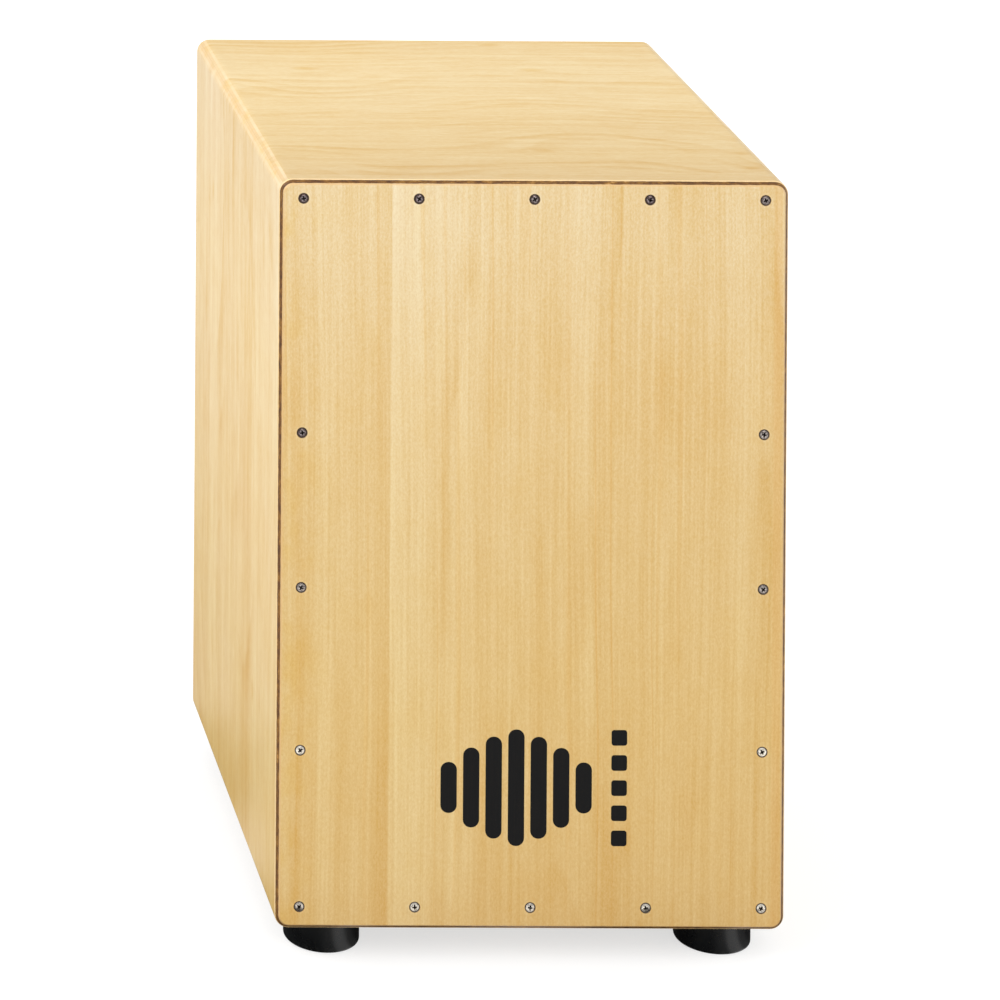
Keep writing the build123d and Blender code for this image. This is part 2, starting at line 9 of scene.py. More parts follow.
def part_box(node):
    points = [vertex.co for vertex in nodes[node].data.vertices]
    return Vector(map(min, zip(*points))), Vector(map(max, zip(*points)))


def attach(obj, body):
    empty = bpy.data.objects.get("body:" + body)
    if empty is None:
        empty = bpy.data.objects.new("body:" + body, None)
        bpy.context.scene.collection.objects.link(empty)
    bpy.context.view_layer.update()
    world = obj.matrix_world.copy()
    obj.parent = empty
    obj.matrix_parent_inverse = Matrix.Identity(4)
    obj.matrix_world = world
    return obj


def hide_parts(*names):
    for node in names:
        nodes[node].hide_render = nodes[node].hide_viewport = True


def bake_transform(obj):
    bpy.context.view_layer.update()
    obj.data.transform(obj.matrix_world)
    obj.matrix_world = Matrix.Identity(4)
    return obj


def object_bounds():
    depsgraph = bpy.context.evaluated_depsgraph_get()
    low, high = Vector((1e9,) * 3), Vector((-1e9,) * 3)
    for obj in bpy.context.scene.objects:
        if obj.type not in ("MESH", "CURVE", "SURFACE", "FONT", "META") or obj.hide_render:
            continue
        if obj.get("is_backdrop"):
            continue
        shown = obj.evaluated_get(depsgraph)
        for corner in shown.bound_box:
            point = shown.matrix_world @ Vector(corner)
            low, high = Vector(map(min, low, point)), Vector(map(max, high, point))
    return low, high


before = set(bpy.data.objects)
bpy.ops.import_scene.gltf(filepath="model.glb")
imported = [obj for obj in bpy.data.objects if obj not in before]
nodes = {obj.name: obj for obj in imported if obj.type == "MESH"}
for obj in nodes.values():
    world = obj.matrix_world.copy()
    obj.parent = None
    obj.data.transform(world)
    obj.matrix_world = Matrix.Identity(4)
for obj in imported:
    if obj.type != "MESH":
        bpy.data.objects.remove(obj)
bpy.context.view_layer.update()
random.seed(7)
scene = bpy.context.scene

# ---------------------------------------------------------------------------
# sizes, all read from the frame (metres)
# ---------------------------------------------------------------------------
plate_lo, plate_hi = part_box("front_plate")
top_lo, top_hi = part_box("top_panel")
bot_lo, bot_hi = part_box("bottom_panel")
rear_lo, rear_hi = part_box("rear_panel")
FRONT_Y = plate_lo.y
REAR_Y = rear_hi.y
HALF_W = plate_hi.x
foot_lo, foot_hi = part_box("foot_front_right")
FOOT_X, FOOT_Y = (foot_lo.x + foot_hi.x) / 2, -(foot_lo.y + foot_hi.y) / 2
BOX_Z0, BOX_Z1 = plate_lo.z, plate_hi.z


def srgb(r, g, b):
    """0-255 display colour to the linear colour a node wants."""
    out = []
    for c in (r, g, b):
        c = c / 255.0
        out.append(c / 12.92 if c <= 0.04045 else ((c + 0.055) / 1.055) ** 2.4)
    return (*out, 1.0)


# ---------------------------------------------------------------------------
# a small helper for writing node trees
# ---------------------------------------------------------------------------
class Tree:
    def __init__(self, name):
        self.mat = bpy.data.materials.new(name)
        self.mat.use_nodes = True
        self.t = self.mat.node_tree
        self.t.nodes.clear()
        self.out = self.t.nodes.new("ShaderNodeOutputMaterial")
        self.bsdf = self.t.nodes.new("ShaderNodeBsdfPrincipled")
        self.t.links.new(self.bsdf.outputs[0], self.out.inputs[0])
        coord = self.t.nodes.new("ShaderNodeTexCoord")
        self.obj = coord.outputs["Object"]
        sep = self.t.nodes.new("ShaderNodeSeparateXYZ")
        self.t.links.new(self.obj, sep.inputs[0])
        self.x, self.y, self.z = sep.outputs[0], sep.outputs[1], sep.outputs[2]

    def put(self, socket, value):
        if hasattr(value, "links"):
            self.t.links.new(value, socket)
        elif value is not None:
            socket.default_value = value

    def m(self, op, a, b=None, c=None, clamp=False):
        n = self.t.nodes.new("ShaderNodeMath")
        n.operation = op
        n.use_clamp = clamp
        for i, v in enumerate((a, b, c)):
            if v is not None:
                self.put(n.inputs[i], v)
        return n.outputs[0]

    def vec(self, x, y, z):
        n = self.t.nodes.new("ShaderNodeCombineXYZ")
        for i, v in enumerate((x, y, z)):
            self.put(n.inputs[i], v)
        return n.outputs[0]

    def noise(self, vector, scale=1.0, detail=2.0, rough=0.5, dist=0.0):
        n = self.t.nodes.new("ShaderNodeTexNoise")
        self.put(n.inputs["Vector"], vector)
        n.inputs["Scale"].default_value = scale
        n.inputs["Detail"].default_value = detail
        n.inputs["Roughness"].default_value = rough
        n.inputs["Distortion"].default_value = dist
        return n.outputs["Fac"]

    def voronoi(self, vector, scale=1.0, feature="F1", random_=1.0, out="Distance"):
        n = self.t.nodes.new("ShaderNodeTexVoronoi")
        n.feature = feature
        self.put(n.inputs["Vector"], vector)
        n.inputs["Scale"].default_value = scale
        n.inputs["Randomness"].default_value = random_
        return n.outputs[out]

    def smooth(self, v, lo, hi, a=0.0, b=1.0):
        """a below lo, b above hi, with a smooth change between."""
        n = self.t.nodes.new("ShaderNodeMapRange")
        n.interpolation_type = "SMOOTHSTEP"
        self.put(n.inputs["Value"], v)
        n.inputs["From Min"].default_value = lo
        n.inputs["From Max"].default_value = hi
        n.inputs["To Min"].default_value = a
        n.inputs["To Max"].default_value = b
        return n.outputs[0]

    def lin(self, v, lo, hi, a=0.0, b=1.0):
        n = self.t.nodes.new("ShaderNodeMapRange")
        self.put(n.inputs["Value"], v)
        n.inputs["From Min"].default_value = lo
        n.inputs["From Max"].default_value = hi
        n.inputs["To Min"].default_value = a
        n.inputs["To Max"].default_value = b
        return n.outputs[0]

    def band(self, v, lo, hi, soft):
        """1 between lo and hi, 0 outside."""
        return self.m("MULTIPLY", self.smooth(v, lo - soft, lo + soft), self.smooth(v, hi - soft, hi + soft, 1.0, 0.0))

    def mix(self, fac, a, b, mode="MIX"):
        n = self.t.nodes.new("ShaderNodeMix")
        n.data_type = "RGBA"
        n.blend_type = mode
        self.put(n.inputs[0], fac)
        self.put(n.inputs[6], a)
        self.put(n.inputs[7], b)
        return n.outputs[2]

    def ramp(self, fac, stops, interp="LINEAR"):
        n = self.t.nodes.new("ShaderNodeValToRGB")
        n.color_ramp.interpolation = interp
        e = n.color_ramp.elements
        while len(e) < len(stops):
            e.new(0.5)
        for el, (pos, col) in zip(e, stops):
            el.position = pos
            el.color = col if len(col) == 4 else (*col, 1)
        self.put(n.inputs[0], fac)
        return n.outputs[0]

    def bump(self, height, strength, distance):
        n = self.t.nodes.new("ShaderNodeBump")
        n.inputs["Strength"].default_value = strength
        n.inputs["Distance"].default_value = distance
        self.put(n.inputs["Height"], height)
        self.t.links.new(n.outputs[0], self.bsdf.inputs["Normal"])
        return n.outputs[0]

    def set(self, name, value):
        self.put(self.bsdf.inputs[name], value)


def axis_socket(t, name):
    return {"x": t.x, "y": t.y, "z": t.z}[name]


# ---------------------------------------------------------------------------
# wood
# ---------------------------------------------------------------------------
def blend_vec(t, fac, v0, v1):
    """v0 to v1 by fac, allowed to run past both ends."""
    n = t.t.nodes.new("ShaderNodeMix")
    n.data_type = "VECTOR"
    n.clamp_factor = False
    t.put(n.inputs[0], fac)
    t.put(n.inputs[4], v0)
    t.put(n.inputs[5], v1)
    return n.outputs[1]


def vmul(t, a, b):
    n = t.t.nodes.new("ShaderNodeVectorMath")
    n.operation = "MULTIPLY"
    t.put(n.inputs[0], a)
    t.put(n.inputs[1], b)
    return n.outputs[0]


def spread(t, v, k):
    """A noise value turned into a signed swing of size k."""
    return t.m("MULTIPLY", t.m("SUBTRACT", v, 0.5), k)


def total(t, first, *rest):
    for r in rest:
        first = t.m("ADD", first, r)
    return first


DARK_STREAK = (0.955, 0.905, 0.80)
LIGHT_STREAK = (1.04, 1.09, 1.22)


def veneer(t, grain, across, seed, base, broad_k=1.3, mid_k=1.1, fine_k=0.9, speck_k=0.8, ring_k=0.4, ring_scale=60.0,
           ring_warp=12.0, fleck_k=0.5, offset=None, sway=0.0022, arch_g=2.3, mottle_k=0.5,
           mid_a=120.0, fine_g=14.0, speck_s=(900.0, 230.0)):
    """Sliced veneer: base is the mean colour.  grain and across are axis names.
    Returns colour and fibre height."""
    g, a = axis_socket(t, grain), axis_socket(t, across)
    mul = lambda s, k: t.m("MULTIPLY", s, k)
    # fibres wander a little sideways on their way along the board
    w1 = t.noise(t.vec(mul(a, 6.0), mul(g, 1.6), seed), 1.0, 1.0, 0.5)
    w2 = t.noise(t.vec(mul(a, 24.0), mul(g, 7.0), seed + 2.0), 1.0, 1.0, 0.5)
    a2 = total(t, a, spread(t, w1, 0.016), spread(t, w2, sway))
    broad = t.noise(t.vec(mul(a2, 17.0), mul(g, 0.8), seed + 1.3), 1.0, 3.0, 0.55)
    mid = t.noise(t.vec(mul(a2, mid_a), mul(g, 2.0), seed + 4.1), 1.0, 3.0, 0.62)
    fine = t.noise(t.vec(mul(a2, 640.0), mul(g, fine_g), seed + 5.2), 1.0, 2.0, 0.6)
    speck = t.noise(t.vec(mul(a2, speck_s[0]), mul(g, speck_s[1]), seed + 6.4), 1.0, 2.0, 0.6)
    # growth rings, cut at a shallow angle so that they close into long arches
    arch = t.noise(t.vec(mul(a, 9.0), mul(g, arch_g), seed + 7.7), 1.0, 1.0, 0.4)
    ripple = t.noise(t.vec(mul(a, 42.0), mul(g, 13.0), seed + 3.7), 1.0, 2.0, 0.55)
    h = total(t, mul(a2, ring_scale), spread(t, arch, ring_warp), spread(t, ripple, 0.9))
    frac = t.m("FRACT", h)
    ring = t.m("MULTIPLY", t.smooth(frac, 0.10, 0.86), t.smooth(frac, 0.86, 1.0, 1.0, 0.0))
    # no two rings are equally dark, and each fades in and out along its length
    each = t.noise(t.vec(mul(t.m("FLOOR", h), 3.71), mul(g, 1.2), seed + 1.9), 1.0, 1.0)
    broken = t.smooth(t.noise(t.vec(mul(a, 30.0), mul(g, 7.0), seed + 9.1), 1.0, 2.0, 0.5), 0.36, 0.62)
    ring = t.m("MULTIPLY", t.m("MULTIPLY", ring, broken), t.smooth(each, 0.36, 0.64, 0.1, 1.0))
    # soft clouding that ignores the grain
    cloud = t.noise(t.vec(mul(a, 60.0), mul(g, 34.0), seed + 12.0), 1.0, 3.0, 0.6)
    tone = total(t, 0.5 if offset is None else offset, spread(t, broad, broad_k), spread(t, mid, mid_k), spread(t, fine, fine_k),
                 spread(t, speck, speck_k), spread(t, cloud, mottle_k), t.m("MULTIPLY", ring, -ring_k), 0.15 * ring_k)
    colour = vmul(t, base, blend_vec(t, tone, DARK_STREAK, LIGHT_STREAK))
    # scattered tan flecks, longer along the grain
    v = t.t.nodes.new("ShaderNodeTexVoronoi")
    t.put(v.inputs["Vector"], t.vec(mul(a2, 34.0), mul(g, 15.0), seed))
    v.inputs["Scale"].default_value = 1.0
    sep = t.t.nodes.new("ShaderNodeSeparateColor")
    t.t.links.new(v.outputs["Color"], sep.inputs[0])
    chosen = t.smooth(sep.outputs[0], 0.55, 0.60)
    fleck = t.m("MULTIPLY", t.smooth(t.m("ADD", v.outputs["Distance"], spread(t, ripple, 0.10)), 0.03, 0.17, 1.0, 0.0), chosen)
    colour = vmul(t, colour, blend_vec(t, t.m("MULTIPLY", fleck, fleck_k), (1, 1, 1), (0.94, 0.86, 0.66)))
    height = t.m("ADD", t.m("MULTIPLY", fine, 0.6), t.m("MULTIPLY", speck, 0.4))
    return colour, height


def tint(t, colour, fac, rgb):
    """Colour multiplied by rgb where fac is 1."""
    return vmul(t, colour, blend_vec(t, fac, (1, 1, 1), rgb))


def plies(t, depth, total_depth, layers):
    """Multiplier for a cut edge through plywood. depth is in metres below the outer face."""
    wave = t.noise(t.vec(t.m("MULTIPLY", t.x, 60.0), t.m("MULTIPLY", t.y, 60.0), t.m("MULTIPLY", t.z, 60.0)), 1.0, 2.0)
    d = t.m("ADD", depth, spread(t, wave, 0.0003))
    f = t.m("DIVIDE", d, total_depth, clamp=True)
    stops = []
    for i, (start, col) in enumerate(layers):
        at = max(0.0, min(1.0, start / (total_depth * 1000)))
        if stops:
            stops.append((max(at - 0.012, stops[-1][0]), stops[-1][1]))
        stops.append((at, col))
    base = t.ramp(f, stops, "LINEAR")
    grit = t.noise(t.vec(t.m("MULTIPLY", t.x, 900.0), t.m("MULTIPLY", t.y, 500.0), t.m("MULTIPLY", t.z, 900.0)), 1.0, 3.0, 0.7)
    return tint(t, base, t.smooth(grit, 0.48, 0.75, 0.0, 0.5), (0.9, 0.84, 0.74))


PLY_PALE = (0.835, 0.665, 0.450)
PLY_TAN = (0.745, 0.540, 0.310)
PLY_DARK = (0.56, 0.37, 0.18)


def stops_by(pairs, lo, hi):
    return [((p - lo) / (hi - lo), c) for p, c in sorted(pairs)]


def body_material(name, grain, across, seed, base_axis, base_stops, gloss=0.3, **kw):
    """One wall of the box: lacquered veneer outside, plies where the wall is cut or rounded over."""
    t = Tree(name)
    lo, hi = base_stops[0][0], base_stops[-1][0]
    base = t.ramp(t.lin(axis_socket(t, base_axis), lo, hi), stops_by(base_stops, lo, hi))
    colour, height = veneer(t, grain, across, seed, base, **kw)
    if grain == "z":
        # the lacquer has yellowed most along the rear edge
        colour = tint(t, colour, t.smooth(t.y, 0.085, 0.150), (0.955, 0.925, 0.86))
    # how far below the outside of the box the point lies
    dx = t.m("SUBTRACT", HALF_W, t.m("ABSOLUTE", t.x))
    dz = t.m("MINIMUM", t.m("SUBTRACT", t.z, BOX_Z0), t.m("SUBTRACT", BOX_Z1, t.z))
    depth = t.m("MINIMUM", dx, dz)
    # the pale ply just under the face gives pale lines along either side of the round-over: partly the ply itself,
    # partly a painted highlight
    edge = plies(t, depth, 0.009, [
        (0.0, PLY_TAN), (0.45, PLY_PALE), (1.2, PLY_TAN), (2.9, PLY_PALE), (3.1, PLY_TAN), (4.4, PLY_PALE), (4.7, PLY_TAN),
        (5.9, PLY_PALE), (6.7, PLY_DARK), (6.9, PLY_TAN), (8.3, PLY_PALE)])
    cut = t.band(depth, 0.00040, 0.00870, 0.00010)
    # on the rounded edges the lacquered plies are nearly as pale as the faces; sawn edges show them more
    uneven = t.noise(t.vec(t.m("MULTIPLY", t.x, 26.0), t.m("MULTIPLY", t.y, 34.0), t.m("MULTIPLY", t.z, 26.0)), 1.0, 3.0, 0.62)
    sawn = t.m("MAXIMUM", t.smooth(t.y, REAR_Y - 0.0009, REAR_Y - 0.0001), t.smooth(uneven, 0.36, 0.64, 0.22, 0.66))
    colour = t.mix(t.m("MULTIPLY", cut, sawn), colour, edge)
    # amber sanding marks along the round-over
    rounded = t.band(depth, 0.0004, 0.0040, 0.0003)
    amber = t.noise(t.vec(t.m("MULTIPLY", t.x, 90.0), t.m("MULTIPLY", t.y, 55.0), t.m("MULTIPLY", t.z, 90.0)), 1.0, 3.0, 0.65)
    colour = tint(t, colour, t.m("MULTIPLY", t.m("MULTIPLY", t.smooth(amber, 0.50, 0.68), rounded), 0.8), (0.99, 0.93, 0.74))
    # a hair-thin mitre line where two walls meet on the round-over
    mitre = t.m("MULTIPLY", t.smooth(t.m("ABSOLUTE", t.m("SUBTRACT", dx, dz)), 0.00005, 0.00020, 1.0, 0.0),
                t.band(depth, 0.0020, 0.0088, 0.0001))
    colour = tint(t, colour, t.m("MULTIPLY", mitre, 0.30), (0.6, 0.45, 0.28))
    inside = t.band(depth, 0.0087, 0.02, 0.00005)
    colour = tint(t, colour, t.m("MULTIPLY", inside, 0.6), (0.88, 0.80, 0.68))
    t.set("Base Color", colour)
    smudge = t.noise(t.vec(t.m("MULTIPLY", t.x, 9.0), t.m("MULTIPLY", t.y, 9.0), t.m("MULTIPLY", t.z, 9.0)), 1.0, 4.0, 0.6)
    rough = total(t, t.lin(smudge, 0.3, 0.7, 0.34, 0.46), t.m("MULTIPLY", cut, 0.06), t.m("MULTIPLY", inside, 0.3))
    t.set("Roughness", rough)
    t.set("Specular IOR Level", gloss)
    t.set("Coat Weight", 0.25 * gloss)
    t.set("Coat Roughness", 0.26)
    t.bump(t.m("SUBTRACT", height, t.m("MULTIPLY", mitre, 0.8)), 0.14, 0.0002)
    return t.mat


def screw_distance(t):
    """Distance in millimetres to the axis of the nearest screw of the striking plate."""
    X, Z = t.m("MULTIPLY", t.x, 1000.0), t.m("MULTIPLY", t.z, 1000.0)
    qx = t.m("PINGPONG", t.m("ADD", X, 340.0), 34.0)
    qz = t.m("MINIMUM", t.m("ABSOLUTE", t.m("SUBTRACT", Z, 33.4)), t.m("ABSOLUTE", t.m("SUBTRACT", Z, 450.3)))
    d1 = t.m("SQRT", t.m("ADD", t.m("MULTIPLY", qx, qx), t.m("MULTIPLY", qz, qz)))
    cx = t.m("SUBTRACT", t.m("ABSOLUTE", X), 136.0)
    cz = t.m("MINIMUM", t.m("ABSOLUTE", t.m("SUBTRACT", Z, 125.5)),
             t.m("MINIMUM", t.m("ABSOLUTE", t.m("SUBTRACT", Z, 221.3)), t.m("ABSOLUTE", t.m("SUBTRACT", Z, 312.4))))
    d2 = t.m("SQRT", t.m("ADD", t.m("MULTIPLY", cx, cx), t.m("MULTIPLY", cz, cz)))
    return t.m("MINIMUM", d1, d2)


# front plate: the striking face
def plate_material(base_stops):
    t = Tree("plate_veneer_lacquered")
    lo, hi = base_stops[0][0], base_stops[-1][0]
    base = t.ramp(t.lin(t.z, lo, hi), stops_by(base_stops, lo, hi))
    # the face is laid from a few leaves of veneer, each with its own tone
    u = t.m("ADD", t.lin(t.x, -HALF_W, HALF_W), spread(t, t.noise(t.vec(2.0, 5.0, t.m("MULTIPLY", t.z, 2.4)), 1.0, 2.0), 0.006))
    grey = lambda v: (v / 1.5, v / 1.5, v / 1.5, 1)
    leaf = t.ramp(u, [(0.0, grey(0.34)), (0.05, grey(0.30)), (0.085, grey(0.74)), (0.115, grey(0.58)), (0.137, grey(0.28)), (0.176, grey(0.64)),
                      (0.19, grey(0.50)), (0.2055, grey(0.28)), (0.2205, grey(0.12)), (0.2225, grey(1.18)), (0.262, grey(1.14)), (0.266, grey(1.34)),
                      (0.280, grey(1.20)), (0.288, grey(0.78)), (0.334, grey(0.98)), (0.375, grey(0.68)), (0.413, grey(0.42)), (0.50, grey(0.50)),
                      (0.532, grey(0.26)), (0.571, grey(0.56)), (0.61, grey(0.64)), (0.635, grey(0.42)), (0.71, grey(0.16)), (0.769, grey(0.48)),
                      (0.80, grey(0.60)), (0.848, grey(0.26)), (0.902, grey(0.46)), (0.905, grey(0.64)), (0.96, grey(0.10)), (1.0, grey(0.20))])
    leaf = t.m("MULTIPLY", leaf, 1.5)
    colour, height = veneer(t, "z", "x", 41.0, base, broad_k=0.6, mid_k=1.9, fine_k=1.7, speck_k=2.3, ring_k=0.6, ring_scale=34.0,
                            ring_warp=7.0, fleck_k=0.3, offset=leaf, sway=0.0014, mottle_k=0.55, fine_g=7.0, speck_s=(1300.0, 620.0))
    # warm threads that run most of the height, and amber mottling at the left edge
    drift = t.noise(t.vec(t.m("MULTIPLY", t.x, 9.0), t.m("MULTIPLY", t.z, 3.4), 5.0), 1.0, 1.0, 0.5)
    tx = t.m("ADD", t.x, spread(t, drift, 0.010))
    thread = t.noise(t.vec(t.m("MULTIPLY", tx, 170.0), t.m("MULTIPLY", t.z, 1.2), 17.0), 1.0, 1.0, 0.5)
    colour = tint(t, colour, t.smooth(thread, 0.64, 0.74, 0.0, 0.75), (0.985, 0.93, 0.82))
    hair = t.noise(t.vec(t.m("MULTIPLY", tx, 330.0), t.m("MULTIPLY", t.z, 1.0), 29.0), 1.0, 0.0, 0.5)
    colour = tint(t, colour, t.smooth(hair, 0.70, 0.80), (0.97, 0.88, 0.70))
    mottle = t.noise(t.vec(t.m("MULTIPLY", t.x, 55.0), t.m("MULTIPLY", t.z, 26.0), 2.0), 1.0, 3.0, 0.6)
    left = t.smooth(t.x, -0.148, -0.118, 1.0, 0.20)
    colour = tint(t, colour, t.m("MULTIPLY", t.smooth(mottle, 0.44, 0.68), left), (0.97, 0.905, 0.68))
    band = t.band(t.x, 0.1415, 0.1465, 0.0008)
    colour = tint(t, colour, t.m("MULTIPLY", band, 0.7), (1.0, 0.93, 0.84))
    # cut edge: face ply, dark core, back ply
    depth = t.m("SUBTRACT", t.y, FRONT_Y)
    ragged = t.noise(t.vec(t.m("MULTIPLY", t.x, 260.0), t.m("MULTIPLY", t.z, 260.0), t.m("MULTIPLY", t.y, 260.0)), 1.0, 3.0, 0.6)
    d = t.m("ADD", depth, spread(t, ragged, 0.0003))
    core = t.band(d, 0.00085, 0.00238, 0.00010)
    spots = t.noise(t.vec(t.m("MULTIPLY", t.x, 170.0), t.m("MULTIPLY", t.z, 170.0), t.m("MULTIPLY", t.y, 700.0)), 1.0, 4.0, 0.7)
    core_colour = t.ramp(spots, [(0.30, srgb(66, 36, 6)), (0.47, srgb(100, 62, 14)), (0.60, srgb(134, 92, 28)), (0.74, srgb(186, 138, 74))])
    # the face ply on the round-over is darker than the face: partly its cut fibres, partly painted shade that takes
    # back the key lamp's light on the bevel
    face_edge = t.band(depth, 0.00004, 0.00085, 0.00003)
    colour = t.mix(t.m("MULTIPLY", face_edge, 0.7), colour, srgb(206, 166, 112))
    colour = t.mix(core, colour, core_colour)
    back = t.band(d, 0.00238, 0.00315, 0.00008)
    colour = t.mix(t.m("MULTIPLY", back, 0.8), colour, srgb(236, 204, 152))
    ds = screw_distance(t)
    # painted shade: a dark ring in the countersink round each screw head
    countersink_shade = t.smooth(ds, 3.12, 3.34, 1.0, 0.0)
    colour = t.mix(t.m("MULTIPLY", countersink_shade, 0.92), colour, srgb(62, 42, 28))
    halo = t.m("MULTIPLY", t.smooth(ds, 3.3, 3.7), t.smooth(ds, 3.8, 4.8, 1.0, 0.0))
    colour = tint(t, colour, t.m("MULTIPLY", halo, 0.5), (1.06, 1.10, 1.22))
    t.set("Base Color", colour)
    smudge = t.noise(t.vec(t.m("MULTIPLY", t.x, 11.0), t.m("MULTIPLY", t.y, 11.0), t.m("MULTIPLY", t.z, 11.0)), 1.0, 4.0, 0.6)
    t.set("Roughness", t.m("ADD", t.lin(smudge, 0.3, 0.7, 0.36, 0.48), t.m("MULTIPLY", core, 0.18)))
    t.set("Specular IOR Level", 0.42)
    t.set("Coat Weight", 0.16)
    t.set("Coat Roughness", 0.26)
    t.bump(height, 0.16, 0.0002)
    return t.mat


def rear_material():
    t = Tree("rear_veneer_lacquered")
    # lighter towards the top: partly the veneer's own tone and partly painted light, the same falloff from the overhead
    # lamps as on the plate
    base = t.ramp(t.lin(t.z, BOX_Z0, BOX_Z1), [(0.0, (0.70, 0.49, 0.225)), (1.0, (0.80, 0.595, 0.31))])
    colour, height = veneer(t, "z", "x", 73.0, base, broad_k=1.3, mid_k=1.2, fine_k=1.0, speck_k=0.9, ring_k=0.65, ring_scale=52.0,
                            ring_warp=14.0, fleck_k=0.5)
    depth = t.m("SUBTRACT", REAR_Y, t.y)
    edge = plies(t, depth, 0.006, [(0.0, PLY_PALE), (0.7, PLY_DARK), (1.0, PLY_TAN), (2.3, PLY_PALE), (3.6, PLY_DARK), (3.9, PLY_TAN), (5.3, PLY_PALE)])
    cut = t.band(depth, 0.00012, 0.0059, 0.00005)
    colour = t.mix(cut, colour, edge)
    # the glue line round the let-in panel
    ex = t.m("SUBTRACT", rear_hi.x, t.m("ABSOLUTE", t.x))
    ez = t.m("MINIMUM", t.m("SUBTRACT", t.z, rear_lo.z), t.m("SUBTRACT", rear_hi.z, t.z))
    rim = t.smooth(t.m("MINIMUM", ex, ez), 0.0001, 0.0006, 1.0, 0.0)
    colour = t.mix(t.m("MULTIPLY", rim, 0.55), colour, srgb(150, 106, 60))
    t.set("Base Color", colour)
    smudge = t.noise(t.vec(t.m("MULTIPLY", t.x, 9.0), 3.0, t.m("MULTIPLY", t.z, 9.0)), 1.0, 4.0, 0.6)
    t.set("Roughness", t.m("ADD", t.lin(smudge, 0.3, 0.7, 0.36, 0.47), t.m("MULTIPLY", cut, 0.1)))
    t.set("Specular IOR Level", 0.42)
    t.set("Coat Weight", 0.18)
    t.set("Coat Roughness", 0.25)
    t.bump(t.m("SUBTRACT", height, t.m("MULTIPLY", rim, 1.2)), 0.16, 0.0002)
    return t.mat


def batten_material(name, grain, across, other, seed):
    """Planed, unlacquered strip of light wood."""
    t = Tree(name)
    g, a, o = axis_socket(t, grain), axis_socket(t, across), axis_socket(t, other)
    slab = t.noise(t.vec(t.m("MULTIPLY", a, 70.0), t.m("MULTIPLY", g, 4.0), t.m("MULTIPLY", o, 70.0)), 1.0, 2.0, 0.5)
    rings = t.m("FRACT", t.m("ADD", t.m("MULTIPLY", a, 420.0), t.m("ADD", t.m("MULTIPLY", o, 210.0), t.m("MULTIPLY", slab, 2.2))))
    late = t.m("MULTIPLY", t.smooth(rings, 0.2, 0.9), t.smooth(rings, 0.92, 1.0, 1.0, 0.0))
    fine = t.noise(t.vec(t.m("MULTIPLY", a, 900.0), t.m("MULTIPLY", g, 24.0), t.m("MULTIPLY", o, 900.0)), 1.0, 3.0, 0.6)
    tone = t.m("ADD", t.m("MULTIPLY", late, -0.35), t.m("MULTIPLY", fine, 0.7))
    tone = t.m("ADD", tone, seed * 0.03 + 0.28, clamp=True)
    colour = t.ramp(tone, [(0.0, srgb(176, 128, 78)), (0.5, srgb(216, 172, 116)), (1.0, srgb(236, 202, 152))])
    stain = t.noise(t.vec(t.m("MULTIPLY", t.x, 45.0), t.m("MULTIPLY", t.y, 45.0), t.m("MULTIPLY", t.z, 45.0)), 1.0, 3.0, 0.6)
    colour = t.mix(t.smooth(stain, 0.58, 0.7, 0.0, 0.25), colour, srgb(186, 140, 88))
    t.set("Base Color", colour)
    t.set("Roughness", t.lin(fine, 0.3, 0.7, 0.62, 0.78))
    t.bump(t.m("ADD", fine, t.m("MULTIPLY", late, -0.5)), 0.3, 0.0004)
    return t.mat


# ---------------------------------------------------------------------------
# metals, rubber, print
# ---------------------------------------------------------------------------
def metal(name, base, rough_lo, rough_hi, scratch_axis=None, sunk_shade=None, tint=None, speck=600.0):
    t = Tree(name)
    p = lambda k: t.vec(t.m("MULTIPLY", t.x, k), t.m("MULTIPLY", t.y, k), t.m("MULTIPLY", t.z, k))
    cloud = t.noise(p(140.0), 1.0, 3.0, 0.6)
    grain = t.noise(p(speck), 1.0, 2.0, 0.6)
    colour = t.mix(t.smooth(cloud, 0.35, 0.7, 0.0, 0.55), base, tint or tuple(c * 0.72 for c in base[:3]) + (1,))
    colour = t.mix(t.smooth(grain, 0.62, 0.78, 0.0, 0.5), colour, tuple(c * 0.45 for c in base[:3]) + (1,))
    rough = t.lin(grain, 0.3, 0.7, rough_lo, rough_hi)
    height = grain
    if scratch_axis:
        s = {"x": (20.0, 2600.0, 2600.0), "y": (2600.0, 20.0, 2600.0), "z": (2600.0, 2600.0, 20.0)}[scratch_axis]
        lines = t.noise(t.vec(t.m("MULTIPLY", t.x, s[0]), t.m("MULTIPLY", t.y, s[1]), t.m("MULTIPLY", t.z, s[2])), 1.0, 2.0, 0.6)
        height = t.m("ADD", t.m("MULTIPLY", grain, 0.3), lines)
        rough = t.m("ADD", rough, t.lin(lines, 0.3, 0.7, -0.05, 0.08))
    # painted shade: along the given axis the metal turns dark and dull past the given height, where it sinks into a
    # hollow
    if sunk_shade is not None:
        axis, shade_from, shade_full = sunk_shade
        v = axis_socket(t, axis)
        mask = t.smooth(v, shade_from, shade_full)
        colour = t.mix(t.m("MULTIPLY", mask, 0.9), colour, srgb(38, 32, 30))
        rough = t.m("ADD", rough, t.m("MULTIPLY", mask, 0.25))
        t.set("Metallic", t.m("SUBTRACT", 1.0, t.m("MULTIPLY", mask, 0.5)))
    else:
        t.set("Metallic", 1.0)
    t.set("Base Color", colour)
    t.set("Roughness", rough)
    t.bump(height, 0.25, 0.00008)
    return t.mat


